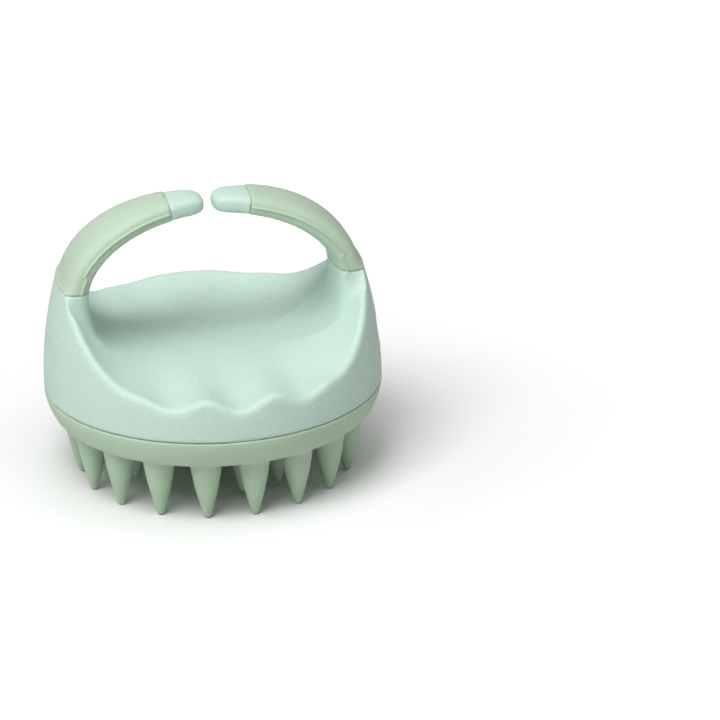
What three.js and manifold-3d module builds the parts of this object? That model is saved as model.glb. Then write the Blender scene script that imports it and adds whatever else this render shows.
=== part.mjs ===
// Scalp massager brush: a round palm housing with a split ring handle over it, and a soft head of
// cones below it. Millimetres, +Z up. The origin is on the brush's axis, in the plane of the outer
// cones' tips. The arms of the handle lie along X, and the finger grooves face -Y.
import * as THREE from 'three';
import { mergeVertices } from 'three/addons/utils/BufferGeometryUtils.js';
import Module from 'manifold-3d';

const wasm = await Module();
wasm.setup();

// Driving dimensions
const BODY_RADIUS = 40;
const HEAD_TOP = 22;          // top edge of the soft head's rim
const FLOOR_Z = 15;           // underside of the head between the cones
const GAP = 0.3;              // room between pieces that touch

// Housing
const SHELL_BOTTOM = HEAD_TOP + GAP;
const SADDLE_Z = 31.2;        // height of the palm rest at its middle
const FRONT_CREST = 32;       // rim of the palm rest, on the finger side
const BACK_CREST = 33.8;
const CREST_ROUND = 3;        // radius of the rim's outer edge
const CREST_POWER = 8;        // how late the palm rest curves up into its rim
const ARM_RISE = 14.5;        // how far the rim climbs into an arm
const RISE_FROM = 35;         // degrees from the front or back where that climb starts
const RISE_SPAN = 33;
const RISE_POWER = 1.7;
const RISE_FOOT_POWER = 4;    // how late that climb starts on the way out from the middle
const GROOVE_STEP = 15.5;     // distance between the finger grooves, which run along Y
const GROOVE_DEPTH = 3;
const GROOVE_POWER = 2.2;     // how fast the grooves fade towards the middle
const DIP_DEPTH = 0.9;        // shallow dips of the back rim
const DIP_AT = 22;            // degrees from the back
const DIP_HALF = 9;
const DENT_DEPTH = 0.5;       // shallow rests on the side walls, under the arms
const DENT_AT = 82;           // degrees from the front
const DENT_HALF = 11;
const DENT_Z = 34.5;
const DENT_HALF_HEIGHT = 4.5;
const WALL_LEAN = 3.4;        // how far the side wall leans in at arm height
const WALL_LEAN_HEIGHT = 25;
const WALL_LEAN_POWER = 2;
const CAVITY_TOP = 27;
const CAVITY_RADIUS = BODY_RADIUS - 2.9;
const CAVITY_SHOULDER_Z = 25;
const CAVITY_FLAT_RADIUS = 31;
const BODY_SEGMENTS = 60;
const HOLE_SIDES = 12;
const BOSS_SIDES = 16;
const OVERRUN = 1;            // how far a cutter runs past the face it starts from
const WALL_STEPS = [0, 0.35, 0.7, 1];
const CREST_TURNS = [22.5, 45, 67.5, 90];
const SADDLE_SHARES = [0.96, 0.91, 0.84, 0.75, 0.62, 0.4, 0];

// Arms: each follows an ellipse from the housing's side up and over to the middle
const ARM_CENTRE_X = 3.4;
const ARM_CENTRE_Z = 46;
const ARM_REACH = 29;
const ARM_HEIGHT = 20.1;
const ARM_ROOT_ANGLE = -34;   // degrees along the ellipse; below 0 the arm runs straight down
const TIP_GAP_HALF = 0.95;
const TIP_ROUND = 4.2;        // length of an arm's rounded end
const TIP_POWER = 2.6;        // 2 is an ellipse, and more is blunter
const TIP_FLAT = 0.25;        // share of the section left as the flat of the end
const ROOT_HALF_THICKNESS = 3.3;
const ROOT_HALF_WIDTH = 9.2;
const END_HALF_THICKNESS = 2.3;
const END_HALF_WIDTH = 4.5;
const WIDTH_POWER = 2.2;
const SECTION_POWER = 3.2;
const ARM_STATIONS = 16;
const TIP_STATIONS = 3;
const ARM_SIDES = 16;

// Soft sleeves over the arms
const SLEEVE_BOTTOM = 49;
const SLEEVE_END_ANGLE = 78;
const SLEEVE_PROUD = 0.35;    // how far the sleeve stands out from the bare arm
const SLEEVE_THICKNESS = 1.7;

// Base plate, its screws and its seal
const PLATE_BOTTOM = FLOOR_Z + 2.9;
const PLATE_TOP = PLATE_BOTTOM + 2.8;
const PLATE_RADIUS = 36.8;
const PLATE_BOTTOM_RADIUS = 34.9;
const SPIGOT_TOP = 24.7;
const SPIGOT_INNER = 34.2;
const SPIGOT_TAPER = 0.4;     // lead-in at the spigot's top
const SEAL_Z = 23.3;
const SEAL_RADIUS = 36.1;
const SEAL_SECTION = 0.6;
const SEAL_SIDES = 8;
const SCREW_X = 22;
const SCREW_Y = 14;
const SCREW_SHANK = 0.9;
const SCREW_HEAD = 2.3;
const SCREW_HEAD_HEIGHT = 1.2;
const SCREW_HEAD_BEVEL = 0.3;
const SCREW_LENGTH = 7.6;
const SOCKET_RADIUS = 0.6;    // hexagonal drive socket
const SOCKET_SIDES = 6;
const BOSS_RADIUS = 3.4;

// Bristle head
const HEAD_FLOOR_THICKNESS = 2.6;
const RIM_BOTTOM_RADIUS = 37.5;
const RIM_BULGE_DROP = 3;     // the rim stays nearly full width this far below its top
const RIM_BULGE_INSET = 0.6;
const RIM_FOOT_RISE = 0.8;    // the rim's lower edge: its outer turn, and the lip inside it
const RIM_FOOT_OUT = 0.4;
const RIM_LIP_DROP = 0.2;
const RIM_LIP_IN = 1;
const RIM_LIP_WIDTH = 1;
const CONE_SIDES = 8;
const CONE_TIP = 0.9;         // radius of the rounded tip
const CONE_TIP_FLAT = 0.6;    // share of that radius left as the flat of the end
const CONE_TIP_RISE = 0.7;    // share of that radius over which the tip rounds out
const CONE_WAIST = 0.66;      // share of the base radius at half height
const CONE_ROOT = 1;          // how far a cone's solid runs up into the floor
const CONE_RINGS = [
  { count: 18, radius: 32, base: 3.9, height: 15, phase: 6.7 },
  { count: 14, radius: 21.6, base: 3.2, height: 13.8, phase: 7.5 },
  { count: 10, radius: 12.9, base: 2.8, height: 11.5, phase: 22.2 },
  { count: 2, radius: 5, base: 2.7, height: 11.1, phase: 75.2 },
];

const degrees = THREE.MathUtils.degToRad;
const smoothstep = THREE.MathUtils.smoothstep;
const lerp = THREE.MathUtils.lerp;

// --- Geometry helpers ---

function signedVolume(geometry) {
  const p = geometry.attributes.position;
  const index = geometry.index;
  const a = new THREE.Vector3();
  const b = new THREE.Vector3();
  const c = new THREE.Vector3();
  let total = 0;
  for (let i = 0; i < index.count; i += 3) {
    a.fromBufferAttribute(p, index.getX(i));
    b.fromBufferAttribute(p, index.getX(i + 1));
    c.fromBufferAttribute(p, index.getX(i + 2));
    total += a.dot(b.cross(c)) / 6;
  }
  return total;
}

// Merges shared vertices and turns the faces outward.
function closed(source) {
  let geometry = source.clone();
  geometry.deleteAttribute('normal');
  geometry.deleteAttribute('uv');
  geometry = mergeVertices(geometry, 1e-4);
  const kept = [];
  const index = geometry.index;
  for (let i = 0; i < index.count; i += 3) {
    const triangle = [index.getX(i), index.getX(i + 1), index.getX(i + 2)];
    if (new Set(triangle).size === 3) kept.push(...triangle);
  }
  geometry.setIndex(kept);
  if (signedVolume(geometry) < 0) geometry.setIndex(kept.reverse());
  return geometry;
}

function toSolid(source) {
  const geometry = closed(source);
  return new wasm.Manifold(new wasm.Mesh({
    numProp: 3,
    vertProperties: new Float32Array(geometry.attributes.position.array),
    triVerts: new Uint32Array(geometry.index.array),
  }));
}

function toGeometry(solid) {
  const mesh = solid.getMesh();
  const geometry = new THREE.BufferGeometry();
  geometry.setAttribute('position', new THREE.BufferAttribute(new Float32Array(mesh.vertProperties), 3));
  geometry.setIndex(new THREE.BufferAttribute(new Uint32Array(mesh.triVerts), 1));
  return geometry;
}

// A profile of [radius, z] points turned about the Z axis.
function revolve(profile, segments) {
  const points = profile.map(([radius, z]) => new THREE.Vector2(radius, z));
  const geometry = new THREE.LatheGeometry(points, segments);
  geometry.rotateX(Math.PI / 2);
  return geometry;
}

function uprightCylinder(x, y, bottom, top, radius, sides) {
  const geometry = new THREE.CylinderGeometry(radius, radius, top - bottom, sides);
  geometry.rotateX(Math.PI / 2);
  geometry.translate(x, y, (bottom + top) / 2);
  return geometry;
}

// --- Shape of the housing ---

// Degrees from the front (-Y) or back (+Y) direction, whichever is nearer.
function angleFromFrontOrBack(angle) {
  return THREE.MathUtils.radToDeg(Math.asin(Math.min(1, Math.abs(Math.cos(angle)))));
}

function bump(offset, halfWidth) {
  return Math.exp(-((offset / halfWidth) ** 2));
}

// How far the finger grooves and the back dips lower the palm rest.
function grooveDepth(x, y) {
  const inFingers = Math.abs(x) < 1.5 * GROOVE_STEP;
  const scallop = inFingers ? Math.cos((Math.PI * x) / GROOVE_STEP) ** 2 : 0;
  const fingers = GROOVE_DEPTH * scallop * Math.max(0, -y / BODY_RADIUS) ** GROOVE_POWER;
  const fromBack = THREE.MathUtils.radToDeg(Math.atan2(Math.abs(x), y));
  const dips = DIP_DEPTH * bump(fromBack - DIP_AT, DIP_HALF) * Math.max(0, y / BODY_RADIUS);
  return fingers + dips;
}

function dentDepth(x, y, z) {
  const fromFront = THREE.MathUtils.radToDeg(Math.atan2(Math.abs(x), -y));
  return DENT_DEPTH * bump(fromFront - DENT_AT, DENT_HALF) * bump(z - DENT_Z, DENT_HALF_HEIGHT);
}

function wallRadius(z) {
  const t = Math.max(0, z - SHELL_BOTTOM) / WALL_LEAN_HEIGHT;
  return BODY_RADIUS - WALL_LEAN * t ** WALL_LEAN_POWER;
}

// Height of the palm rest at a share of the rim's radius, 0 at the middle and 1 at the rim.
function saddleHeight(share, angle) {
  const radius = share * (BODY_RADIUS - CREST_ROUND);
  const climb = THREE.MathUtils.clamp((angleFromFrontOrBack(angle) - RISE_FROM) / RISE_SPAN, 0, 1);
  const rise = ARM_RISE * climb ** RISE_POWER;
  const crest = lerp(FRONT_CREST, BACK_CREST, smoothstep(Math.sin(angle), -0.5, 0.5));
  const grooves = grooveDepth(radius * Math.cos(angle), radius * Math.sin(angle));
  return SADDLE_Z + (crest - SADDLE_Z) * share ** CREST_POWER + rise * share ** RISE_FOOT_POWER
    - grooves;
}

// Outer profile at one angle, from the seam up the wall, over the rim and in to the middle.
function outerProfile(angle) {
  const wallTop = saddleHeight(1, angle) - CREST_ROUND;
  const profile = [];
  for (const t of WALL_STEPS) {
    const z = lerp(SHELL_BOTTOM, wallTop, t);
    const radius = wallRadius(z);
    profile.push([radius - dentDepth(radius * Math.cos(angle), radius * Math.sin(angle), z), z]);
  }
  const rimRadius = wallRadius(wallTop) - CREST_ROUND;
  for (const turn of CREST_TURNS) {
    const radius = rimRadius + CREST_ROUND * Math.cos(degrees(turn));
    profile.push([radius, wallTop + CREST_ROUND * Math.sin(degrees(turn))]);
  }
  for (const share of SADDLE_SHARES) {
    profile.push([rimRadius * share, saddleHeight(share, angle)]);
  }
  return profile;
}

const CAVITY_PROFILE = [
  [0, CAVITY_TOP],
  [CAVITY_FLAT_RADIUS, CAVITY_TOP],
  [CAVITY_RADIUS, CAVITY_SHOULDER_Z],
  [CAVITY_RADIUS, SHELL_BOTTOM],
];

// The housing without its arms: a lathe whose outer points follow the profile at each angle.
function housingGeometry() {
  const rest = [...CAVITY_PROFILE, ...outerProfile(0)];
  const geometry = revolve(rest, BODY_SEGMENTS);
  const position = geometry.attributes.position;
  for (let turn = 0; turn <= BODY_SEGMENTS; turn += 1) {
    const angle = (2 * Math.PI * (turn % BODY_SEGMENTS)) / BODY_SEGMENTS;
    const profile = [...CAVITY_PROFILE, ...outerProfile(angle)];
    profile.forEach(([radius, z], step) => {
      const vertex = turn * profile.length + step;
      position.setXYZ(vertex, radius * Math.cos(angle), radius * Math.sin(angle), z);
    });
  }
  return geometry;
}

// --- Shape of the arms ---

// Centre, outward direction and half sizes of the right arm's section at an angle of the ellipse.
function armStation(angle) {
  const bent = degrees(Math.max(0, angle));
  const share = THREE.MathUtils.clamp(angle / 90, 0, 1);
  const x = ARM_CENTRE_X + ARM_REACH * Math.cos(bent);
  const centre = new THREE.Vector3(x, 0, ARM_CENTRE_Z + ARM_HEIGHT * Math.sin(degrees(angle)));
  const outward = new THREE.Vector3(ARM_HEIGHT * Math.cos(bent), 0, ARM_REACH * Math.sin(bent));
  return {
    centre,
    outward: outward.normalize(),
    halfThickness: lerp(ROOT_HALF_THICKNESS, END_HALF_THICKNESS, share),
    halfWidth: lerp(ROOT_HALF_WIDTH, END_HALF_WIDTH, share ** WIDTH_POWER),
  };
}

function rounded(value) {
  return Math.sign(value) * Math.abs(value) ** (2 / SECTION_POWER);
}

// The right arm as one closed solid, its section grown by `grow`, with a rounded end.
function armGeometry(grow) {
  const geometry = new THREE.CylinderGeometry(1, 1, 1, ARM_SIDES, ARM_STATIONS);
  const position = geometry.attributes.position;
  const endX = TIP_GAP_HALF + TIP_ROUND;
  const endAngle = THREE.MathUtils.radToDeg(Math.acos((endX - ARM_CENTRE_X) / ARM_REACH));
  const tipStart = 1 - TIP_STATIONS / ARM_STATIONS;
  const vertex = new THREE.Vector3();
  for (let i = 0; i < position.count; i += 1) {
    vertex.fromBufferAttribute(position, i);
    const along = vertex.y + 0.5;
    const station = armStation(lerp(ARM_ROOT_ANGLE, endAngle, Math.min(1, along / tipStart)));
    const tipShare = Math.sin((Math.max(0, along - tipStart) / (1 - tipStart)) * (Math.PI / 2));
    const shrink = Math.max(TIP_FLAT, (1 - tipShare ** TIP_POWER) ** (1 / TIP_POWER));
    const out = rounded(vertex.x) * (station.halfThickness + grow) * shrink;
    const side = rounded(vertex.z) * (station.halfWidth + grow) * shrink;
    station.centre.addScaledVector(station.outward, out);
    const x = station.centre.x - tipShare * (TIP_ROUND + grow);
    position.setXYZ(i, x, side, station.centre.z);
  }
  return geometry;
}

// A block that holds the stretch of the right arm from the sleeve's foot to its end.
function sleeveBlock(inset) {
  const reach = 2 * BODY_RADIUS;
  const cut = armStation(SLEEVE_END_ANGLE);
  const along = new THREE.Vector3(cut.outward.z, 0, -cut.outward.x);
  const start = cut.centre.clone().addScaledVector(along, inset);
  const low = start.clone().addScaledVector(cut.outward, -ARM_HEIGHT / 2);
  const high = start.clone().addScaledVector(cut.outward, reach);
  const outline = new THREE.Shape([
    new THREE.Vector2(low.x, SLEEVE_BOTTOM + inset),
    new THREE.Vector2(reach, SLEEVE_BOTTOM + inset),
    new THREE.Vector2(reach, high.z),
    new THREE.Vector2(high.x, high.z),
    new THREE.Vector2(low.x, low.z),
  ]);
  const geometry = new THREE.ExtrudeGeometry(outline, { depth: reach, bevelEnabled: false });
  geometry.rotateX(Math.PI / 2);
  geometry.translate(0, reach / 2, 0);
  return geometry;
}

// The housing's own part of the right arm: a core under the sleeve and the bare root and tip.
function armCore() {
  const bare = toSolid(armGeometry(0)).subtract(toSolid(sleeveBlock(0)));
  const core = toSolid(armGeometry(SLEEVE_PROUD - SLEEVE_THICKNESS));
  return bare.add(core);
}

function rightSleeve() {
  const outside = toSolid(armGeometry(SLEEVE_PROUD));
  const inside = toSolid(armGeometry(SLEEVE_PROUD - SLEEVE_THICKNESS + GAP));
  return outside.subtract(inside).intersect(toSolid(sleeveBlock(GAP)));
}

// --- Pieces ---

const WHEAT_STRAW = { color: 0xbfe0d0, roughness: 0.62, metalness: 0 };
const SOFT_GREEN = { color: 0xb1ceac, roughness: 0.7, metalness: 0 };
const SILICONE = { color: 0xa6c6a2, roughness: 0.6, metalness: 0 };
const WHITE_PLASTIC = { color: 0xd8ded6, roughness: 0.5, metalness: 0 };
const SEAL_RUBBER = { color: 0x3c4440, roughness: 0.8, metalness: 0 };
const SCREW_STEEL = { color: 0xb8bcc0, roughness: 0.35, metalness: 1 };

const group = new THREE.Group();

function addPiece(name, geometry, look) {
  const mesh = new THREE.Mesh(closed(geometry), new THREE.MeshStandardMaterial(look));
  mesh.name = name;
  group.add(mesh);
}

const screwPlaces = [];
for (const x of [SCREW_X, -SCREW_X]) {
  for (const y of [-SCREW_Y, SCREW_Y]) {
    screwPlaces.push([x, y]);
  }
}

function makeShell() {
  const arm = armCore();
  let solid = toSolid(housingGeometry());
  for (const side of [arm, arm.mirror([1, 0, 0])]) {
    solid = solid.add(side);
  }
  for (const [x, y] of screwPlaces) {
    const bossTop = CAVITY_TOP + OVERRUN;
    const boss = uprightCylinder(x, y, PLATE_TOP + GAP, bossTop, BOSS_RADIUS, BOSS_SIDES);
    const holeTop = PLATE_BOTTOM + SCREW_LENGTH + 2 * GAP;
    const hole = uprightCylinder(x, y, PLATE_BOTTOM, holeTop, SCREW_SHANK + GAP, HOLE_SIDES);
    solid = solid.add(toSolid(boss)).subtract(toSolid(hole));
  }
  addPiece('shell', toGeometry(solid), WHEAT_STRAW);
}

function makeSleeves() {
  const sleeve = rightSleeve();
  addPiece('grip_sleeve_right', toGeometry(sleeve), SOFT_GREEN);
  addPiece('grip_sleeve_left', toGeometry(sleeve.mirror([1, 0, 0])), SOFT_GREEN);
}

// A rigid dish: a disc that tapers like the soft head around it, with a spigot that the seal rides on.
function makeBasePlate() {
  const grooveHalf = SEAL_SECTION + GAP / 2;
  const grooveRadius = SEAL_RADIUS - SEAL_SECTION - GAP / 2;
  const cutFrom = PLATE_BOTTOM - OVERRUN;
  let solid = toSolid(revolve([
    [0, PLATE_BOTTOM],
    [PLATE_BOTTOM_RADIUS, PLATE_BOTTOM],
    [PLATE_RADIUS, PLATE_TOP],
    [PLATE_RADIUS, SEAL_Z - grooveHalf],
    [grooveRadius, SEAL_Z - grooveHalf],
    [grooveRadius, SEAL_Z + grooveHalf],
    [PLATE_RADIUS, SEAL_Z + grooveHalf],
    [PLATE_RADIUS - SPIGOT_TAPER, SPIGOT_TOP],
    [SPIGOT_INNER, SPIGOT_TOP],
    [SPIGOT_INNER, PLATE_TOP],
    [0, PLATE_TOP],
  ], BODY_SEGMENTS));
  for (const [x, y] of screwPlaces) {
    const holeTop = PLATE_TOP + OVERRUN;
    const hole = uprightCylinder(x, y, cutFrom, holeTop, SCREW_SHANK + GAP, HOLE_SIDES);
    const recessTop = PLATE_BOTTOM + SCREW_HEAD_HEIGHT + 2 * GAP;
    const recess = uprightCylinder(x, y, cutFrom, recessTop, SCREW_HEAD + GAP, BOSS_SIDES);
    solid = solid.subtract(toSolid(hole)).subtract(toSolid(recess));
  }
  addPiece('base_plate', toGeometry(solid), WHITE_PLASTIC);
}

function makeSealRing() {
  const geometry = new THREE.TorusGeometry(SEAL_RADIUS, SEAL_SECTION, SEAL_SIDES, BODY_SEGMENTS);
  geometry.translate(0, 0, SEAL_Z);
  addPiece('seal_ring', geometry, SEAL_RUBBER);
}

function makeScrews() {
  screwPlaces.forEach(([x, y], index) => {
    const headBottom = PLATE_BOTTOM + GAP;
    const headTop = headBottom + SCREW_HEAD_HEIGHT;
    const profile = revolve([
      [0, headBottom],
      [SCREW_HEAD - SCREW_HEAD_BEVEL, headBottom],
      [SCREW_HEAD, headBottom + SCREW_HEAD_BEVEL],
      [SCREW_HEAD, headTop],
      [SCREW_SHANK, headTop],
      [SCREW_SHANK, headBottom + SCREW_LENGTH - SCREW_SHANK],
      [0, headBottom + SCREW_LENGTH],
    ], HOLE_SIDES);
    profile.translate(x, y, 0);
    const socketTop = headBottom + SCREW_HEAD_HEIGHT / 2;
    const socket = uprightCylinder(x, y, headBottom - OVERRUN, socketTop, SOCKET_RADIUS, SOCKET_SIDES);
    const solid = toSolid(profile).subtract(toSolid(socket));
    addPiece(`base_screw_${index + 1}`, toGeometry(solid), SCREW_STEEL);
  });
}

// One cone, its tip down, with sides that swell a little and a small flat end.
function coneSolid(x, y, base, height) {
  const tipZ = FLOOR_Z - height;
  const geometry = revolve([
    [0, tipZ],
    [CONE_TIP * CONE_TIP_FLAT, tipZ],
    [CONE_TIP, tipZ + CONE_TIP * CONE_TIP_RISE],
    [base * CONE_WAIST, tipZ + height / 2],
    [base, FLOOR_Z],
    [base, FLOOR_Z + CONE_ROOT],
    [0, FLOOR_Z + CONE_ROOT],
  ], CONE_SIDES);
  geometry.translate(x, y, 0);
  return toSolid(geometry);
}

// A soft dish with a rim band that hugs the base plate, and rings of cones under its floor.
function makeBristleHead() {
  const innerFloor = FLOOR_Z + HEAD_FLOOR_THICKNESS;
  const lipRadius = RIM_BOTTOM_RADIUS - RIM_LIP_IN;
  let solid = toSolid(revolve([
    [0, innerFloor],
    [PLATE_BOTTOM_RADIUS + GAP, innerFloor],
    [PLATE_RADIUS + GAP, PLATE_TOP],
    [PLATE_RADIUS + GAP, HEAD_TOP],
    [BODY_RADIUS, HEAD_TOP],
    [BODY_RADIUS - RIM_BULGE_INSET, HEAD_TOP - RIM_BULGE_DROP],
    [RIM_BOTTOM_RADIUS + RIM_FOOT_OUT, FLOOR_Z + RIM_FOOT_RISE],
    [lipRadius, FLOOR_Z - RIM_LIP_DROP],
    [lipRadius - RIM_LIP_WIDTH, FLOOR_Z],
    [0, FLOOR_Z],
  ], BODY_SEGMENTS));
  for (const ring of CONE_RINGS) {
    for (let i = 0; i < ring.count; i += 1) {
      const angle = degrees(ring.phase - 90 + (360 / ring.count) * i);
      const x = ring.radius * Math.cos(angle);
      const y = ring.radius * Math.sin(angle);
      solid = solid.add(coneSolid(x, y, ring.base, ring.height));
    }
  }
  addPiece('bristle_head', toGeometry(solid), SILICONE);
}

makeShell();
makeSleeves();
makeBasePlate();
makeSealRing();
makeScrews();
makeBristleHead();

export default group;
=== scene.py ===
"""Scalp massager brush: the looks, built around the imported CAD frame.

Shapes are worked out in millimetres, in the CAD's own frame, and written to meshes in metres. The
housing, the soft head and the base plate are implicit surfaces: a field that is negative inside the
piece, turned into quads and pulled exactly onto the surface. The grip sleeves are lofted grids.
"""
import math

import bpy
import numpy as np
from mathutils import Matrix, Vector


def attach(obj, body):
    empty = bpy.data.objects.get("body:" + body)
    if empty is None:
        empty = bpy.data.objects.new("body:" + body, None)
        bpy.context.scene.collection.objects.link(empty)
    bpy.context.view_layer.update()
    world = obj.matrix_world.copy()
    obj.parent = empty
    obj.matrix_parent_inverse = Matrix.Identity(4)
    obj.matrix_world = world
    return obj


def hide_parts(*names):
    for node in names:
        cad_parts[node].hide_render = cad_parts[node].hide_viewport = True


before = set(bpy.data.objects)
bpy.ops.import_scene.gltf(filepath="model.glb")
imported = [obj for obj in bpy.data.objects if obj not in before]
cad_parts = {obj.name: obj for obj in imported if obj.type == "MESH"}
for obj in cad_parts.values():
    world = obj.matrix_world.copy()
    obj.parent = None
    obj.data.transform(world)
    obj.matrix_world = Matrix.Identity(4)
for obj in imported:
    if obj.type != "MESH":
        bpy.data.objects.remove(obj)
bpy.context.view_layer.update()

MM = 0.001

# --- Sizes shared with the CAD, in millimetres ---

BODY_RADIUS = 40.0
HEAD_TOP = 22.0
FLOOR_Z = 15.0
GAP = 0.3

SHELL_BOTTOM = HEAD_TOP + GAP
SADDLE_Z = 31.2               # height of the palm rest at its middle
FRONT_CREST = 32.0            # rim of the palm rest, on the finger side
BACK_CREST = 33.8
CREST_ROUND = 3.0
CREST_POWER = 8.0             # how late the palm rest curves up into its rim
ARM_RISE = 14.5               # how far the rim climbs into an arm
RISE_FROM = 35.0              # degrees from the front or back where that climb starts
RISE_SPAN = 33.0
RISE_POWER = 1.7
RISE_FOOT_POWER = 4.0
GROOVE_STEP = 15.5            # distance between the finger grooves, which run along Y
GROOVE_DEPTH = 3.0
GROOVE_POWER = 2.2            # how fast the grooves fade towards the middle
DIP_DEPTH = 0.9
DIP_AT = 22.0                 # degrees from the back
DIP_HALF = 9.0
DENT_DEPTH = 0.5
DENT_AT = 82.0                # degrees from the front
DENT_HALF = 11.0
DENT_Z = 34.5
DENT_HALF_HEIGHT = 4.5
WALL_LEAN = 3.4
WALL_LEAN_POWER = 2.0
WALL_LEAN_HEIGHT = 25.0
CAVITY_TOP = 27.0
WALL_THICKNESS = 2.9
CAVITY_RADIUS = BODY_RADIUS - WALL_THICKNESS

ARM_CENTRE_X = 3.4
ARM_CENTRE_Z = 46.0
ARM_REACH = 29.0
ARM_HEIGHT = 20.1
TIP_GAP_HALF = 0.95
ROOT_HALF_THICKNESS = 3.3
ROOT_HALF_WIDTH = 9.2
END_HALF_THICKNESS = 2.3
END_HALF_WIDTH = 4.5
WIDTH_POWER = 2.2
SECTION_POWER = 3.2
TIP_ROUND = 4.2
TIP_POWER = 2.6

SLEEVE_BOTTOM = 49.0
SLEEVE_END_ANGLE = 78.0
SLEEVE_PROUD = 0.35
SLEEVE_THICKNESS = 1.7

HEAD_FLOOR_THICKNESS = 2.6
PLATE_THICKNESS = 2.8
PLATE_BOTTOM = FLOOR_Z + HEAD_FLOOR_THICKNESS + GAP
PLATE_TOP = PLATE_BOTTOM + PLATE_THICKNESS
PLATE_RADIUS = 36.8
PLATE_BOTTOM_RADIUS = 34.9
SPIGOT_TOP = 24.7
SPIGOT_INNER = 34.2
SEAL_Z = 23.3
SEAL_RADIUS = 36.1
SEAL_SECTION = 0.6
SCREW_X = 22.0
SCREW_Y = 14.0
SCREW_SHANK = 0.9
SCREW_HEAD = 2.3
SCREW_HEAD_HEIGHT = 1.2
BOSS_RADIUS = 3.4

RIM_BOTTOM_RADIUS = 37.5
CONE_ROOT = 1.0               # how far a cone's solid runs up into the floor
CONE_RINGS = (
    {"count": 18, "radius": 32.0, "base": 3.9, "height": 15.0, "phase": 6.7},
    {"count": 14, "radius": 21.6, "base": 3.2, "height": 13.8, "phase": 7.5},
    {"count": 10, "radius": 12.9, "base": 2.8, "height": 11.5, "phase": 22.2},
    {"count": 2, "radius": 5.0, "base": 2.7, "height": 11.1, "phase": 75.2},
)

# --- Sizes of the looks alone, in millimetres ---

SEAM_CLOSE = 0.12             # how much nearer the housing comes to the head than in the CAD
EDGE_ROUND = 0.25
CREST_BLEND = 2.3             # reach of the rounding between the palm rest and the wall
CREST_TURN = 0.5              # sine of the angle over which the front rim rises to the back rim
SADDLE_EDGE = 1.06            # share of the rim's radius where the palm rest stops climbing
ARM_BLEND = 5.0               # reach of the fillet between the housing and its arms
LEAST_SLOPE = 0.5             # keeps the arm's field finite on its centre line
CORE_OVERLAP = 2.0            # how far an arm's core reaches down into its root
CAVITY_ROUND = 2.0
SHOULDER_SLOPE = 1.2          # of the cavity's upper edge
SHOULDER_LENGTH = 1.6         # brings that edge's field down to about one per millimetre
SHOULDER_ROUND = 1.0
BOSS_ROUND = 0.5
SCREW_HOLE_END = 0.5          # how far below the cavity's top a screw's hole stops
INNER_EDGE_ROUND = 0.4

CONE_TIP = 0.95               # radius of a cone's rounded tip
CONE_SWELL = 0.35
CONE_LENGTH = 0.975           # from the distance straight across to the distance to a cone's side
CONE_FILLET = 0.9
RIM_POWER = 1.7               # how late the rim turns in towards its foot
RIM_OVERRUN = 1.3             # how far past its foot that turn goes on, for the field's sake
RIM_FOOT_ROUND = 2.2
RIM_TOP_ROUND = 0.5
LIP_DEPTH = 0.4               # the rim's foot hangs this far below the floor between the cones
LIP_FROM = 34.8
LIP_TO = 35.4
DISH_ROUND = 0.6
PLATE_ROUND = 0.6
PLATE_EDGE_ROUND = 0.4


# --- Field arithmetic ---

def smoothstep(value, low, high):
    t = np.clip((value - low) / (high - low), 0.0, 1.0)
    return t * t * (3.0 - 2.0 * t)


def smooth_max(a, b, blend):
    overlap = np.maximum(blend - np.abs(a - b), 0.0) / blend
    return np.maximum(a, b) + overlap * overlap * blend / 4.0


def smooth_min(a, b, blend):
    return -smooth_max(-a, -b, blend)


def bump(offset, half_width):
    return np.exp(-((offset / half_width) ** 2))


# --- Housing shape ---

def groove_depth(x, y):
    """Depth of the three finger grooves at the front and of the two dips of the back rim."""
    scallop = np.cos(math.pi * x / GROOVE_STEP) ** 2 * (np.abs(x) < 1.5 * GROOVE_STEP)
    fingers = GROOVE_DEPTH * scallop * np.clip(-y / BODY_RADIUS, 0.0, 1.0) ** GROOVE_POWER
    from_back = np.degrees(np.arctan2(np.abs(x), y))
    dips = DIP_DEPTH * bump(from_back - DIP_AT, DIP_HALF) * np.maximum(y / BODY_RADIUS, 0.0)
    return fingers + dips


def saddle_height(x, y):
    """Height of the palm rest's surface, rising into the rim and the arms."""
    radius = np.sqrt(x * x + y * y) + 1e-6
    share = np.clip(radius / (BODY_RADIUS - CREST_ROUND), 0.0, SADDLE_EDGE)
    off_axis = np.degrees(np.arcsin(np.clip(np.abs(x) / radius, 0.0, 1.0)))
    climb = np.clip((off_axis - RISE_FROM) / RISE_SPAN, 0.0, 1.0)
    rise = ARM_RISE * climb ** RISE_POWER
    back_share = smoothstep(y / radius, -CREST_TURN, CREST_TURN)
    crest = FRONT_CREST + (BACK_CREST - FRONT_CREST) * back_share
    rim = (crest - SADDLE_Z) * share ** CREST_POWER
    return SADDLE_Z + rim + rise * share ** RISE_FOOT_POWER - groove_depth(x, y)


def dent_depth(x, y, z):
    """Shallow rests for the thumb and the little finger, low on the walls under the arms."""
    from_front = np.degrees(np.arctan2(np.abs(x), -y))
    return DENT_DEPTH * bump(from_front - DENT_AT, DENT_HALF) * bump(z - DENT_Z, DENT_HALF_HEIGHT)


def wall_radius(z):
    t = np.maximum(0.0, z - SHELL_BOTTOM) / WALL_LEAN_HEIGHT
    return BODY_RADIUS - WALL_LEAN * t ** WALL_LEAN_POWER


def housing_field(x, y, z):
    """The solid palm body, without its arms, cavity or bottom."""
    probe = 0.2
    height = saddle_height(x, y)
    slope_x = (saddle_height(x + probe, y) - height) / probe
    slope_y = (saddle_height(x, y + probe) - height) / probe
    top = (z - height) / np.sqrt(1.0 + slope_x ** 2 + slope_y ** 2)
    wall = np.sqrt(x * x + y * y) - wall_radius(z) + dent_depth(x, y, z)
    return smooth_max(top, wall, CREST_BLEND)


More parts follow.
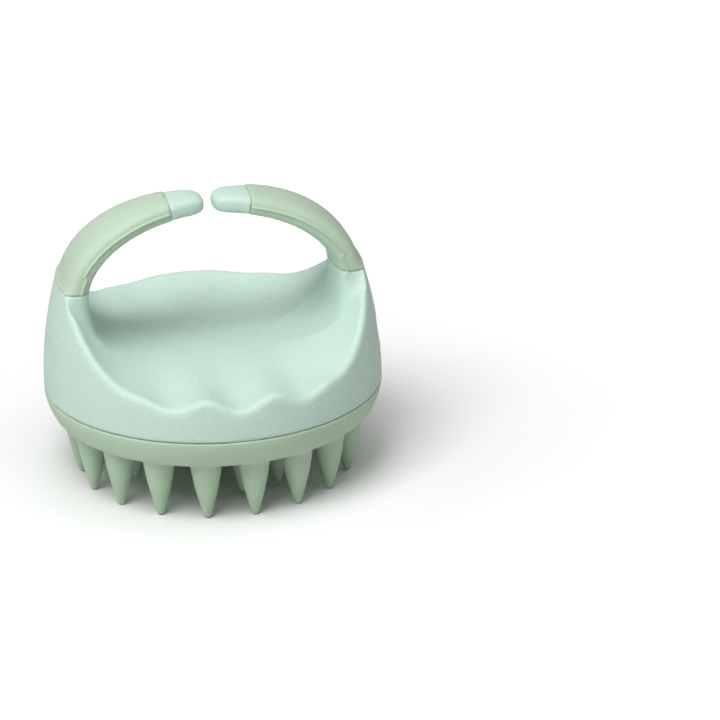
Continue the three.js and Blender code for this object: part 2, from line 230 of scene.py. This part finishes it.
# --- Arm shape ---

def arm_section(angle):
    """Half thickness and half width of an arm at an angle of its ellipse."""
    share = np.clip(angle / 90.0, 0.0, 1.0)
    thickness = ROOT_HALF_THICKNESS + (END_HALF_THICKNESS - ROOT_HALF_THICKNESS) * share
    width = ROOT_HALF_WIDTH + (END_HALF_WIDTH - ROOT_HALF_WIDTH) * share ** WIDTH_POWER
    return thickness, width


def arm_field(x, y, z, grow=0.0):
    """Both arms, each a rounded section swept along its ellipse."""
    across = np.abs(x) - ARM_CENTRE_X
    up = np.maximum(z - ARM_CENTRE_Z, 0.0)
    ratio = np.sqrt((across / ARM_REACH) ** 2 + (up / ARM_HEIGHT) ** 2) + 1e-9
    steepness = np.sqrt((across / ARM_REACH ** 2) ** 2 + (up / ARM_HEIGHT ** 2) ** 2) / ratio + 1e-9
    outward = (ratio - 1.0) / steepness
    angle = np.degrees(np.arctan2(up / ARM_HEIGHT, across / ARM_REACH))
    thickness, width = arm_section(angle)
    thickness = thickness + grow
    width = width + grow
    end_start = TIP_GAP_HALF + TIP_ROUND
    past_end = np.maximum(end_start - np.abs(x), 0.0) / (TIP_ROUND + grow)
    p = SECTION_POWER
    a = np.abs(outward) / thickness
    b = np.abs(y) / width
    section = (a ** p + b ** p) ** (1.0 / p) + 1e-9
    q = TIP_POWER
    size = (section ** q + past_end ** q) ** (1.0 / q)
    slope_out = (a / section) ** (p - 1.0) / thickness
    slope_side = (b / section) ** (p - 1.0) / width
    slope = np.sqrt((section / size) ** (2.0 * q - 2.0) * (slope_out ** 2 + slope_side ** 2)
                    + ((past_end / size) ** (q - 1.0) / TIP_ROUND) ** 2)
    return (size - 1.0) / np.maximum(slope, LEAST_SLOPE / width)


def handle_field(x, y, z):
    """Palm body and full arms, blended into one form."""
    blended = smooth_min(housing_field(x, y, z), arm_field(x, y, z), ARM_BLEND)
    return np.maximum(blended, np.sqrt(x * x + y * y) - wall_radius(z))


def sleeve_cut():
    """Centre and outward direction of the plane where the sleeve ends near the tip."""
    a = math.radians(SLEEVE_END_ANGLE)
    centre = (ARM_CENTRE_X + ARM_REACH * math.cos(a), ARM_CENTRE_Z + ARM_HEIGHT * math.sin(a))
    outward = Vector((ARM_HEIGHT * math.cos(a), ARM_REACH * math.sin(a))).normalized()
    return centre, outward


def sleeve_zone(x, z):
    """Negative where the grip sleeves cover the arms."""
    centre, outward = sleeve_cut()
    rootward = (np.abs(x) - centre[0]) * outward.y - (z - centre[1]) * outward.x
    return np.maximum(SLEEVE_BOTTOM - z, -rootward)


def screw_places():
    return [(x, y) for x in (SCREW_X, -SCREW_X) for y in (-SCREW_Y, SCREW_Y)]


def shell_field(x, y, z):
    """The whole housing moulding: bare form, arm cores under the sleeves, cavity and bosses."""
    full = smooth_max(handle_field(x, y, z), SHELL_BOTTOM - SEAM_CLOSE - z, EDGE_ROUND)
    bare = np.maximum(full, -sleeve_zone(x, z))
    core = arm_field(x, y, z, SLEEVE_PROUD - SLEEVE_THICKNESS)
    solid = np.minimum(bare, np.maximum(core, SLEEVE_BOTTOM - CORE_OVERLAP - z))
    radius = np.sqrt(x * x + y * y)
    shoulder_drop = SHOULDER_SLOPE * (z - CAVITY_TOP + CAVITY_ROUND)
    shoulder = (radius - CAVITY_RADIUS + shoulder_drop) / SHOULDER_LENGTH
    cavity = smooth_max(radius - CAVITY_RADIUS, z - CAVITY_TOP, CAVITY_ROUND)
    cavity = smooth_max(cavity, shoulder, SHOULDER_ROUND)
    for screw_x, screw_y in screw_places():
        from_axis = np.sqrt((x - screw_x) ** 2 + (y - screw_y) ** 2)
        boss = np.maximum(from_axis - BOSS_RADIUS, PLATE_TOP + GAP - z)
        hole = np.maximum(from_axis - SCREW_SHANK - GAP, z - CAVITY_TOP + SCREW_HOLE_END)
        boss = np.maximum(boss, -hole)
        cavity = smooth_max(cavity, -boss, BOSS_ROUND)
    return smooth_max(solid, -cavity, INNER_EDGE_ROUND)


# --- Soft head and base plate shapes ---

def cone_field(x, y, z):
    """All rings of cones: folded to one cone per ring."""
    radius = np.sqrt(x * x + y * y)
    angle = np.arctan2(x, -y)
    nearest = None
    for ring in CONE_RINGS:
        pitch = 2.0 * math.pi / ring["count"]
        local = (angle - math.radians(ring["phase"]) + pitch / 2.0) % pitch - pitch / 2.0
        along = radius * np.cos(local) - ring["radius"]
        across = radius * np.sin(local)
        from_axis = np.sqrt(along ** 2 + across ** 2)
        tip_z = FLOOR_Z - ring["height"] + CONE_TIP
        share = np.clip((z - tip_z) / (FLOOR_Z - tip_z), 0.0, 1.0)
        swell = CONE_SWELL * np.sin(math.pi * share)
        side = CONE_TIP + (ring["base"] - CONE_TIP) * share + swell
        below = np.minimum(z - tip_z, 0.0)
        tip = np.sqrt(from_axis ** 2 + below ** 2) - CONE_TIP
        cone = np.where(below < 0.0, tip, (from_axis - side) * CONE_LENGTH)
        nearest = cone if nearest is None else np.minimum(nearest, cone)
    return np.maximum(nearest, z - FLOOR_Z - CONE_ROOT)


def plate_edge(z):
    """Radius of the base plate's tapering side, which the soft head's dish follows."""
    taper = (PLATE_RADIUS - PLATE_BOTTOM_RADIUS) / (PLATE_TOP - PLATE_BOTTOM)
    return np.minimum(PLATE_BOTTOM_RADIUS + taper * (z - PLATE_BOTTOM), PLATE_RADIUS)


def head_field(x, y, z):
    """The soft dish with its rim band, and the cones under it."""
    radius = np.sqrt(x * x + y * y)
    drop = np.clip((HEAD_TOP - z) / (HEAD_TOP - FLOOR_Z), 0.0, RIM_OVERRUN)
    outside = radius - (BODY_RADIUS - (BODY_RADIUS - RIM_BOTTOM_RADIUS) * drop ** RIM_POWER)
    lip = LIP_DEPTH * smoothstep(radius, LIP_FROM, LIP_TO)
    bottom = FLOOR_Z - lip - z
    body = smooth_max(outside, bottom, RIM_FOOT_ROUND)
    body = smooth_max(body, z - HEAD_TOP, EDGE_ROUND)
    dish_radius = plate_edge(z) + GAP
    dish = smooth_max(radius - dish_radius, FLOOR_Z + HEAD_FLOOR_THICKNESS - z, DISH_ROUND)
    body = smooth_max(body, -dish, RIM_TOP_ROUND)
    return smooth_min(body, cone_field(x, y, z), CONE_FILLET)


def plate_field(x, y, z):
    """The rigid base plate with its spigot, its seal groove and its screw holes."""
    radius = np.sqrt(x * x + y * y)
    ends = np.maximum(PLATE_BOTTOM - z, z - SPIGOT_TOP)
    body = smooth_max(radius - plate_edge(z), ends, PLATE_ROUND)
    well = smooth_max(radius - SPIGOT_INNER, PLATE_TOP - z, PLATE_ROUND)
    body = smooth_max(body, -well, PLATE_EDGE_ROUND)
    groove = np.sqrt((radius - SEAL_RADIUS) ** 2 + (z - SEAL_Z) ** 2) - SEAL_SECTION - GAP / 2.0
    body = np.maximum(body, -groove)
    for screw_x, screw_y in screw_places():
        from_axis = np.sqrt((x - screw_x) ** 2 + (y - screw_y) ** 2)
        recess_top = PLATE_BOTTOM + SCREW_HEAD_HEIGHT + 2.0 * GAP
        hole = np.minimum(from_axis - SCREW_SHANK - GAP,
                          np.maximum(from_axis - SCREW_HEAD - GAP, z - recess_top))
        body = smooth_max(body, -hole, PLATE_EDGE_ROUND)
    return body


# --- Turning a field into a mesh ---

FLATTEST_SQUARE = 0.05        # least squared slope that a step is divided by
RELAX_ROUNDS = 2
CORNERS = [(i, j, k) for i in (0, 1) for j in (0, 1) for k in (0, 1)]
CELL_EDGES = [(a, b) for a in CORNERS for b in CORNERS
              if a < b and sum(abs(p - q) for p, q in zip(a, b)) == 1]


def field_gradient(field, points, probe=0.04):
    gradient = np.empty_like(points)
    for axis in range(3):
        ahead = points.copy()
        behind = points.copy()
        ahead[:, axis] += probe
        behind[:, axis] -= probe
        gradient[:, axis] = (field(*ahead.T) - field(*behind.T)) / (2.0 * probe)
    return gradient


def pull_to_surface(field, points, reach, rounds=3):
    """Moves points onto the surface by Newton steps, each no longer than `reach`."""
    for _ in range(rounds):
        gradient = field_gradient(field, points)
        square = np.maximum(np.sum(gradient ** 2, axis=1), FLATTEST_SQUARE)
        step = gradient * (field(*points.T) / square)[:, None]
        length = np.linalg.norm(step, axis=1)
        step *= np.minimum(1.0, reach / np.maximum(length, 1e-9))[:, None]
        points = points - step
    return points


def relax(points, faces, field, step):
    """Evens out the quads, then puts the points back on the surface."""
    total = np.zeros_like(points)
    count = np.zeros(len(points))
    for corner in range(4):
        here = faces[:, corner]
        after = faces[:, (corner + 1) % 4]
        np.add.at(total, here, points[after])
        np.add.at(count, here, 1.0)
    average = total / np.maximum(count, 1.0)[:, None]
    return pull_to_surface(field, points + 0.5 * (average - points), step / 2.0)


def net_of_field(field, low, high, step):
    """Surface net: one point in each cell that the surface crosses, one quad round each crossed edge."""
    axes = [np.arange(lo - step, hi + 1.5 * step, step) for lo, hi in zip(low, high)]
    grid = np.meshgrid(*axes, indexing="ij", sparse=True)
    value = np.broadcast_to(field(*grid), [len(a) for a in axes])
    inside = value < 0.0
    cells = tuple(n - 1 for n in value.shape)
    filled = np.zeros(cells, dtype=np.int8)
    for i, j, k in CORNERS:
        filled += inside[i:i + cells[0], j:j + cells[1], k:k + cells[2]]
    active = np.argwhere((filled > 0) & (filled < 8))
    label = np.full(cells, -1, dtype=np.int64)
    label[tuple(active.T)] = np.arange(len(active))
    total = np.zeros((len(active), 3))
    count = np.zeros(len(active))
    for a, b in CELL_EDGES:
        at_a = value[tuple((active + a).T)]
        at_b = value[tuple((active + b).T)]
        crossed = (at_a < 0.0) != (at_b < 0.0)
        t = np.where(crossed, at_a / np.where(crossed, at_a - at_b, 1.0), 0.0)
        place = active + np.array(a) + t[:, None] * (np.array(b) - np.array(a))
        total += place * crossed[:, None]
        count += crossed
    origin = np.array([a[0] for a in axes])
    points = origin + total / count[:, None] * step
    faces = []
    for axis in range(3):
        u, v = (axis + 1) % 3, (axis + 2) % 3
        ahead = np.take(inside, range(1, inside.shape[axis]), axis=axis)
        here = np.take(inside, range(inside.shape[axis] - 1), axis=axis)
        for start_inside in (True, False):
            edges = np.argwhere((here != ahead) & (here == start_inside))
            ring = []
            for du, dv in ((-1, -1), (0, -1), (0, 0), (-1, 0)):
                cell = edges.copy()
                cell[:, u] += du
                cell[:, v] += dv
                ring.append(label[tuple(cell.T)])
            quads = np.stack(ring, axis=1)
            faces.append(quads if start_inside else quads[:, ::-1])
    return points, np.concatenate(faces)


def mesh_object(name, points, faces):
    mesh = bpy.data.meshes.new(name)
    mesh.from_pydata((np.asarray(points) * MM).tolist(), [], np.asarray(faces).tolist())
    mesh.update()
    mesh.shade_smooth()
    piece = bpy.data.objects.new(name, mesh)
    bpy.context.scene.collection.objects.link(piece)
    return piece


def field_object(name, field, low, high, step):
    points, faces = net_of_field(field, low, high, step)
    points = pull_to_surface(field, points, step / 2.0)
    for _ in range(RELAX_ROUNDS):
        points = relax(points, faces, field, step)
    return mesh_object(name, points, faces)


# --- Grip sleeves ---

SLEEVE_STATIONS = 110
SLEEVE_SIDES = 200
BEAD_HEIGHT = 0.3             # parting line that runs along both sides of a sleeve
BEAD_HALF = 0.28
PARTING_AT = -0.1             # how far inside the middle of the sleeve the parting line runs
INNER_STEP = 0.2              # how much the finger side of a sleeve is set in behind it
JOG_START = 0.16              # share of the sleeve's length where the parting line steps inward
JOG_END = 0.2
JOG_SIZE = 0.8
SLEEVE_EDGE_ROUND = 0.3
SLEEVE_LENGTH = 40.0          # roughly, along its middle
FOOT_PROUD = 0.1              # how far the sleeve stands out from the housing at its foot
LEVEL_UNTIL = 0.3             # share of the length over which the stations tilt from level
CROWDING = 0.28               # how much closer the sides are near the parting lines
RAY_START = 0.2
RAY_END = 14.0
RAY_ROUNDS = 30


def sleeve_frames():
    """Centres and in-plane outward directions of the stations, from the foot to the tip end."""
    foot_angle = math.degrees(math.asin((SLEEVE_BOTTOM - ARM_CENTRE_Z) / ARM_HEIGHT))
    share = np.linspace(0.0, 1.0, SLEEVE_STATIONS)
    angle = np.radians(foot_angle + (SLEEVE_END_ANGLE - foot_angle) * share)
    centre = np.stack([ARM_CENTRE_X + ARM_REACH * np.cos(angle), np.zeros_like(angle),
                       ARM_CENTRE_Z + ARM_HEIGHT * np.sin(angle)], axis=1)
    outward = np.stack([ARM_HEIGHT * np.cos(angle), np.zeros_like(angle),
                        ARM_REACH * np.sin(angle)], axis=1)
    outward /= np.linalg.norm(outward, axis=1)[:, None]
    level = np.array([1.0, 0.0, 0.0])
    tilt = smoothstep(share, 0.0, LEVEL_UNTIL)[:, None]
    outward = level + (outward - level) * tilt
    outward /= np.linalg.norm(outward, axis=1)[:, None]
    return share, centre, outward


def cast_rays(field, centres, directions, level):
    """Distance along each ray from its centre to where the field reaches `level`."""
    low = np.full(len(centres), RAY_START)
    high = np.full(len(centres), RAY_END)
    for _ in range(RAY_ROUNDS):
        middle = (low + high) / 2.0
        value = field(*(centres + directions * middle[:, None]).T)
        outside = value > level
        high = np.where(outside, middle, high)
        low = np.where(outside, low, middle)
    return (low + high) / 2.0


def right_sleeve_grid():
    """Rings of points on the outside and the inside of the right sleeve."""
    share, centre, outward = sleeve_frames()
    turn = np.linspace(0.0, 2.0 * math.pi, SLEEVE_SIDES, endpoint=False)
    turn = turn + CROWDING * np.sin(2.0 * turn)
    side = np.array([0.0, 1.0, 0.0])
    direction = (outward[:, None, :] * np.cos(turn)[None, :, None]
                 + side[None, None, :] * np.sin(turn)[None, :, None])
    shape = direction.shape
    centres = np.broadcast_to(centre[:, None, :], shape).reshape(-1, 3)
    directions = direction.reshape(-1, 3)
    shares = np.repeat(share, SLEEVE_SIDES)
    turns = np.tile(turn, SLEEVE_STATIONS)
    proud = FOOT_PROUD + (SLEEVE_PROUD - FOOT_PROUD) * shares
    reach = cast_rays(handle_field, centres, directions, 0.0) + proud
    height = reach * np.cos(turns)
    jog = JOG_SIZE * (1.0 - smoothstep(shares, JOG_START, JOG_END))
    from_line = height + PARTING_AT + jog
    on_side = np.abs(np.sin(turns)) > 0.5
    bead = BEAD_HEIGHT * np.exp(-((from_line / BEAD_HALF) ** 2)) * on_side
    inner = INNER_STEP * (1.0 - smoothstep(from_line, -2.0 * BEAD_HALF, 0.0))
    from_end = np.minimum(shares, 1.0 - shares) * SLEEVE_LENGTH
    inset = 1.0 - np.clip(from_end / SLEEVE_EDGE_ROUND, 0.0, 1.0)
    rounding = SLEEVE_EDGE_ROUND * (1.0 - np.sqrt(1.0 - inset ** 2))
    outer = centres + directions * (reach + bead - inner - rounding)[:, None]
    inner_grow = SLEEVE_PROUD - SLEEVE_THICKNESS + GAP
    core = cast_rays(lambda x, y, z: arm_field(x, y, z, inner_grow), centres, directions, 0.0)
    inside = centres + directions * core[:, None]
    return outer.reshape(shape), inside.reshape(shape)


def sleeve_mesh(name, mirror):
    outer, inside = right_sleeve_grid()
    rings = np.concatenate([outer, inside[::-1]])
    if mirror:
        rings = rings * np.array([-1.0, 1.0, 1.0])
    count = len(rings)
    faces = []
    for i in range(count):
        after = (i + 1) % count
        for j in range(SLEEVE_SIDES):
            across = (j + 1) % SLEEVE_SIDES
            quad = [i * SLEEVE_SIDES + j, i * SLEEVE_SIDES + across,
                    after * SLEEVE_SIDES + across, after * SLEEVE_SIDES + j]
            faces.append(quad[::-1] if mirror else quad)
    return mesh_object(name, rings.reshape(-1, 3), faces)


# --- Materials ---

# Colours, dark to light
MINT = ((0.53, 0.72, 0.62), (0.60, 0.785, 0.69), (0.67, 0.85, 0.755))
DUST = (0.50, 0.54, 0.38)
STRAW = ((0.46, 0.42, 0.24), (0.60, 0.60, 0.42))
GRIP_GREEN = ((0.51, 0.65, 0.495), (0.54, 0.68, 0.525))
HEAD_GREEN = ((0.50, 0.66, 0.48), (0.53, 0.69, 0.51))
PLATE_GREY = ((0.66, 0.72, 0.64), (0.74, 0.79, 0.72))
SEAL_BLACK = ((0.04, 0.05, 0.045), (0.07, 0.08, 0.075))
STEEL = ((0.56, 0.57, 0.59), (0.7, 0.71, 0.73))

# Scales of the patterns, in repeats per metre
MOTTLE_SCALE = 2600.0
FIBRE_SCALE = 1400.0
FIBRE_TURNS = ((0.3, 0.5, 0.2), (1.2, 0.1, 0.9), (0.7, 1.4, 2.1))
CLOUD_SCALE = 60.0
GRIP_GRAIN = 3000.0
HEAD_GRAIN = 2200.0
PLATE_GRAIN = 400.0
METAL_GRAIN = 900.0
SUBSURFACE_REACH = 0.0012     # metres
RAMP_ENDS = (0.3, 0.7)        # where a noise pattern is fully dark and fully light
GLOSS_SPREAD = 0.07


def new_material(name, roughness, **inputs):
    material = bpy.data.materials.new(name)
    material.use_nodes = True
    nodes = material.node_tree.nodes
    shader = nodes["Principled BSDF"]
    shader.inputs["Roughness"].default_value = roughness
    for socket, value in inputs.items():
        shader.inputs[socket.replace("_", " ")].default_value = value
    return material, material.node_tree, shader


def add_node(tree, kind, inputs=(), **properties):
    node = tree.nodes.new(kind)
    for key, value in properties.items():
        setattr(node, key, value)
    for key, value in dict(inputs).items():
        if isinstance(value, bpy.types.NodeSocket):
            tree.links.new(value, node.inputs[key])
        else:
            node.inputs[key].default_value = value
    return node


def object_coordinates(tree, scale=(1.0, 1.0, 1.0), turn=(0.0, 0.0, 0.0)):
    place = add_node(tree, "ShaderNodeTexCoord")
    mapping = add_node(tree, "ShaderNodeMapping",
                       {"Vector": place.outputs["Object"], "Scale": scale, "Rotation": turn})
    return mapping.outputs["Vector"]


def ramp(tree, value, stops):
    node = add_node(tree, "ShaderNodeValToRGB", {"Fac": value})
    elements = node.color_ramp.elements
    while len(elements) < len(stops):
        elements.new(0.5)
    for element, (position, color) in zip(elements, stops):
        element.position = position
        element.color = (*color, 1.0)
    return node.outputs["Color"]


def mix_color(tree, factor, a, b):
    node = add_node(tree, "ShaderNodeMix", data_type="RGBA")
    for socket, value in ((0, factor), (6, a), (7, b)):
        if isinstance(value, bpy.types.NodeSocket):
            tree.links.new(value, node.inputs[socket])
        else:
            node.inputs[socket].default_value = value
    return node.outputs[2]


def link_bump(tree, shader, height, strength, distance):
    bump_node = add_node(tree, "ShaderNodeBump",
                         {"Height": height, "Strength": strength, "Distance": distance})
    tree.links.new(bump_node.outputs["Normal"], shader.inputs["Normal"])


def speck_mask(tree, coordinates, scale, size, keep):
    """White where a speck is: a share `keep` of the cells of a random pattern hold one."""
    cells = add_node(tree, "ShaderNodeTexVoronoi", {"Vector": coordinates, "Scale": scale})
    shape = ramp(tree, cells.outputs["Distance"], [(size * 0.6, (1, 1, 1)), (size, (0, 0, 0))])
    split = add_node(tree, "ShaderNodeSeparateColor", {"Color": cells.outputs["Color"]})
    chosen = add_node(tree, "ShaderNodeMath", {0: split.outputs["Red"], 1: keep}, operation="LESS_THAN")
    both = add_node(tree, "ShaderNodeMath", {0: shape, 1: chosen.outputs[0]}, operation="MULTIPLY")
    return both.outputs[0], split.outputs["Green"]


def wheat_straw():
    """Mint plastic with a fine mottle, pale and tan dust, and sparse short fibres."""
    material, tree, shader = new_material("wheat_straw_plastic", 0.5)
    shader.inputs["Specular IOR Level"].default_value = 0.35
    plain = object_coordinates(tree)
    mottle = add_node(tree, "ShaderNodeTexNoise",
                      {"Vector": plain, "Scale": MOTTLE_SCALE, "Detail": 4.0, "Roughness": 0.7})
    color = ramp(tree, mottle.outputs["Fac"], list(zip((0.3, 0.5, 0.72), MINT)))
    dust, _ = speck_mask(tree, plain, MOTTLE_SCALE, 0.32, 0.4)
    faint = add_node(tree, "ShaderNodeMath", {0: dust, 1: 0.35}, operation="MULTIPLY")
    color = mix_color(tree, faint.outputs[0], color, (*DUST, 1.0))
    for turn in FIBRE_TURNS:
        slanted = object_coordinates(tree, (1.0, 0.3, 1.0), turn)
        fibre, tone = speck_mask(tree, slanted, FIBRE_SCALE, 0.26, 0.025)
        straw = ramp(tree, tone, list(zip((0.0, 1.0), STRAW)))
        softened = add_node(tree, "ShaderNodeMath", {0: fibre, 1: 0.6}, operation="MULTIPLY")
        color = mix_color(tree, softened.outputs[0], color, straw)
    tree.links.new(color, shader.inputs["Base Color"])
    gloss = add_node(tree, "ShaderNodeMapRange",
                     {"Value": mottle.outputs["Fac"], "To Min": 0.42, "To Max": 0.62})
    tree.links.new(gloss.outputs[0], shader.inputs["Roughness"])
    link_bump(tree, shader, mottle.outputs["Fac"], 0.12, 0.00008)
    return material


def soft_rubber(name, colors, roughness, grain):
    """Matte soft rubber: slight cloudiness in its colour and a fine moulded grain."""
    material, tree, shader = new_material(name, roughness)
    shader.inputs["Specular IOR Level"].default_value = 0.3
    shader.inputs["Subsurface Weight"].default_value = 0.12
    shader.inputs["Subsurface Radius"].default_value = (0.9, 1.0, 0.7)
    shader.inputs["Subsurface Scale"].default_value = SUBSURFACE_REACH
    plain = object_coordinates(tree)
    cloud = add_node(tree, "ShaderNodeTexNoise",
                     {"Vector": plain, "Scale": CLOUD_SCALE, "Detail": 3.0, "Roughness": 0.5})
    color = ramp(tree, cloud.outputs["Fac"], list(zip(RAMP_ENDS, colors)))
    tree.links.new(color, shader.inputs["Base Color"])
    fine = add_node(tree, "ShaderNodeTexNoise",
                    {"Vector": plain, "Scale": grain, "Detail": 3.0, "Roughness": 0.6})
    gloss = add_node(tree, "ShaderNodeMapRange",
                     {"Value": fine.outputs["Fac"], "To Min": roughness - GLOSS_SPREAD,
                      "To Max": roughness + GLOSS_SPREAD})
    tree.links.new(gloss.outputs[0], shader.inputs["Roughness"])
    link_bump(tree, shader, fine.outputs["Fac"], 0.08, 0.00005)
    return material


def plain_plastic():
    """Pale satin plastic, faintly cloudy."""
    material, tree, shader = new_material("plate_plastic", 0.45)
    plain = object_coordinates(tree)
    noise = add_node(tree, "ShaderNodeTexNoise",
                     {"Vector": plain, "Scale": PLATE_GRAIN, "Detail": 4.0})
    color = ramp(tree, noise.outputs["Fac"], list(zip(RAMP_ENDS, PLATE_GREY)))
    tree.links.new(color, shader.inputs["Base Color"])
    link_bump(tree, shader, noise.outputs["Fac"], 0.06, 0.00005)
    return material


def screw_steel():
    """Plain steel, brushed round."""
    material, tree, shader = new_material("screw_steel", 0.3, Metallic=1.0)
    brushed = object_coordinates(tree, (1.0, 1.0, 12.0))
    noise = add_node(tree, "ShaderNodeTexNoise",
                     {"Vector": brushed, "Scale": METAL_GRAIN, "Detail": 3.0})
    color = ramp(tree, noise.outputs["Fac"], list(zip(RAMP_ENDS, STEEL)))
    tree.links.new(color, shader.inputs["Base Color"])
    gloss = add_node(tree, "ShaderNodeMapRange",
                     {"Value": noise.outputs["Fac"], "To Min": 0.22, "To Max": 0.42})
    tree.links.new(gloss.outputs[0], shader.inputs["Roughness"])
    return material


def seal_rubber():
    """Near-black rubber."""
    material, tree, shader = new_material("seal_rubber", 0.7)
    noise = add_node(tree, "ShaderNodeTexNoise",
                     {"Vector": object_coordinates(tree), "Scale": METAL_GRAIN, "Detail": 3.0})
    color = ramp(tree, noise.outputs["Fac"], list(zip(RAMP_ENDS, SEAL_BLACK)))
    tree.links.new(color, shader.inputs["Base Color"])
    return material


# --- Pieces ---

# Lowest and highest corners that hold each piece's surface
HOUSING_BOX = ((-BODY_RADIUS, -BODY_RADIUS, 21.0), (BODY_RADIUS, BODY_RADIUS, 70.0))
HEAD_BOX = ((-BODY_RADIUS, -BODY_RADIUS, 0.0), (BODY_RADIUS, BODY_RADIUS, HEAD_TOP))
PLATE_BOX = ((-38.0, -38.0, 17.5), (38.0, 38.0, 25.0))

# Sizes of the mesh cells, for a finished render and for a quick one
HOUSING_STEPS = (0.5, 0.9)
HEAD_STEPS = (0.4, 0.7)
PLATE_STEPS = (0.45, 0.7)


def dress(piece, material, body, slot, *nodes):
    piece.data.materials.append(material)
    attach(piece, body)
    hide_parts(*nodes)


def make_pieces():
    quick = int(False)
    shell = field_object("housing", shell_field, *HOUSING_BOX, HOUSING_STEPS[quick])
    dress(shell, wheat_straw(), "handle", "shell", "shell")
    grip = soft_rubber("grip_rubber", GRIP_GREEN, 0.55, GRIP_GRAIN)
    dress(sleeve_mesh("sleeve_right", False), grip, "handle", "sleeve", "grip_sleeve_right")
    dress(sleeve_mesh("sleeve_left", True), grip, "handle", "sleeve", "grip_sleeve_left")
    head = field_object("soft_head", head_field, *HEAD_BOX, HEAD_STEPS[quick])
    silicone = soft_rubber("head_silicone", HEAD_GREEN, 0.5, HEAD_GRAIN)
    dress(head, silicone, "head", "head", "bristle_head")
    plate = field_object("backing_plate", plate_field, *PLATE_BOX, PLATE_STEPS[quick])
    dress(plate, plain_plastic(), "handle", "plate", "base_plate")


def dress_cad_nodes():
    """The seal and the screws keep their CAD shapes."""
    looks = {"seal_ring": seal_rubber()}
    steel = screw_steel()
    for number in range(1, 5):
        looks[f"base_screw_{number}"] = steel
    for name, material in looks.items():
        node = bpy.data.objects[name]
        if not node.material_slots:
            node.data.materials.append(material)
        for slot in node.material_slots:
            slot.material = material


# --- Stage ---

CAMERA_AZIMUTH = -9.0         # degrees from the front, towards the left arm
CAMERA_ELEVATION = 21.95
CAMERA_DISTANCE = 0.8
CAMERA_LENS = 169.4           # millimetres
SENSOR_WIDTH = 36.0
CAMERA_ROLL = 1.99
AIM_RIGHT = 2.511             # degrees that the camera is turned away from the brush
AIM_DOWN = 0.59
TARGET = Vector((0.0, 0.0, 0.035))

FLOOR_HALF = 4.0              # metres
FLOOR_BOUNCE = 0.68           # share of the light that the floor gives back
FLOOR_GLOW = 0.35             # how much the floor away from the brush is lifted towards white
GLOW_FROM = 0.06              # metres from the brush's axis
GLOW_TO = 0.2

WORLD_STRENGTH = 0.2
AREA_LIGHTS = (               # name, place and size in metres, power in watts
    ("key", (-0.33, -0.42, 0.85), 0.55, 6.6),
    ("top", (0.15, -0.12, 1.1), 1.0, 3.8),
    ("side", (-0.85, -0.1, 0.3), 0.6, 1.0),
)


def make_camera():
    azimuth = math.radians(CAMERA_AZIMUTH)
    elevation = math.radians(CAMERA_ELEVATION)
    back = Vector((math.sin(azimuth) * math.cos(elevation),
                   -math.cos(azimuth) * math.cos(elevation), math.sin(elevation)))
    right = Vector((0.0, 0.0, 1.0)).cross(back).normalized()
    up = back.cross(right)
    basis = Matrix((right, up, back)).transposed()
    turns = (Matrix.Rotation(math.radians(-CAMERA_ROLL), 3, "Z")
             @ Matrix.Rotation(math.radians(-AIM_RIGHT), 3, "Y")
             @ Matrix.Rotation(math.radians(-AIM_DOWN), 3, "X"))
    data = bpy.data.cameras.new("camera")
    data.lens = CAMERA_LENS
    data.sensor_width = SENSOR_WIDTH
    data.clip_start = 0.01
    camera = bpy.data.objects.new("camera", data)
    camera.matrix_world = Matrix.Translation(TARGET + back * CAMERA_DISTANCE) @ (basis @ turns).to_4x4()
    bpy.context.scene.collection.objects.link(camera)
    bpy.context.scene.camera = camera


def add_area(name, place, size, power):
    """A square light that faces the brush."""
    data = bpy.data.lights.new(name, "AREA")
    data.size = size
    data.energy = power
    light = bpy.data.objects.new(name, data)
    light.location = place
    light.rotation_euler = (TARGET - Vector(place)).to_track_quat("-Z", "Y").to_euler()
    bpy.context.scene.collection.objects.link(light)


def floor_material():
    """White to the camera, with a glow away from the brush, and grey to bounced light."""
    material, tree, shader = new_material("floor_white", 0.9)
    shader.inputs["Base Color"].default_value = (1.0, 1.0, 1.0, 1.0)
    shader.inputs["Emission Color"].default_value = (1.0, 1.0, 1.0, 1.0)
    place = add_node(tree, "ShaderNodeTexCoord")
    away = add_node(tree, "ShaderNodeVectorMath", {0: place.outputs["Object"]}, operation="LENGTH")
    glow = add_node(tree, "ShaderNodeMapRange",
                    {"Value": away.outputs["Value"], "From Min": GLOW_FROM, "From Max": GLOW_TO,
                     "To Min": 0.0, "To Max": FLOOR_GLOW})
    tree.links.new(glow.outputs[0], shader.inputs["Emission Strength"])
    bounce = add_node(tree, "ShaderNodeBsdfDiffuse", {"Color": (*[FLOOR_BOUNCE] * 3, 1.0)})
    seen = add_node(tree, "ShaderNodeLightPath")
    both = add_node(tree, "ShaderNodeMixShader", {0: seen.outputs["Is Camera Ray"],
                                                  1: bounce.outputs[0], 2: shader.outputs[0]})
    tree.links.new(both.outputs[0], tree.nodes["Material Output"].inputs["Surface"])
    return material


def make_floor():
    mesh = bpy.data.meshes.new("floor")
    side = FLOOR_HALF
    corners = [(-side, -side, 0.0), (side, -side, 0.0), (side, side, 0.0), (-side, side, 0.0)]
    mesh.from_pydata(corners, [], [(0, 1, 2, 3)])
    floor = bpy.data.objects.new("floor", mesh)
    bpy.context.scene.collection.objects.link(floor)
    mesh.materials.append(floor_material())


def make_light():
    for name, place, size, power in AREA_LIGHTS:
        add_area(name, place, size, power)
    world = bpy.data.worlds.new("studio")
    world.use_nodes = True
    background = world.node_tree.nodes["Background"]
    background.inputs["Color"].default_value = (1.0, 1.0, 1.0, 1.0)
    background.inputs["Strength"].default_value = WORLD_STRENGTH
    bpy.context.scene.world = world
    bpy.context.scene.view_settings.view_transform = "Standard"


make_camera()
make_floor()
make_light()
make_pieces()
dress_cad_nodes()
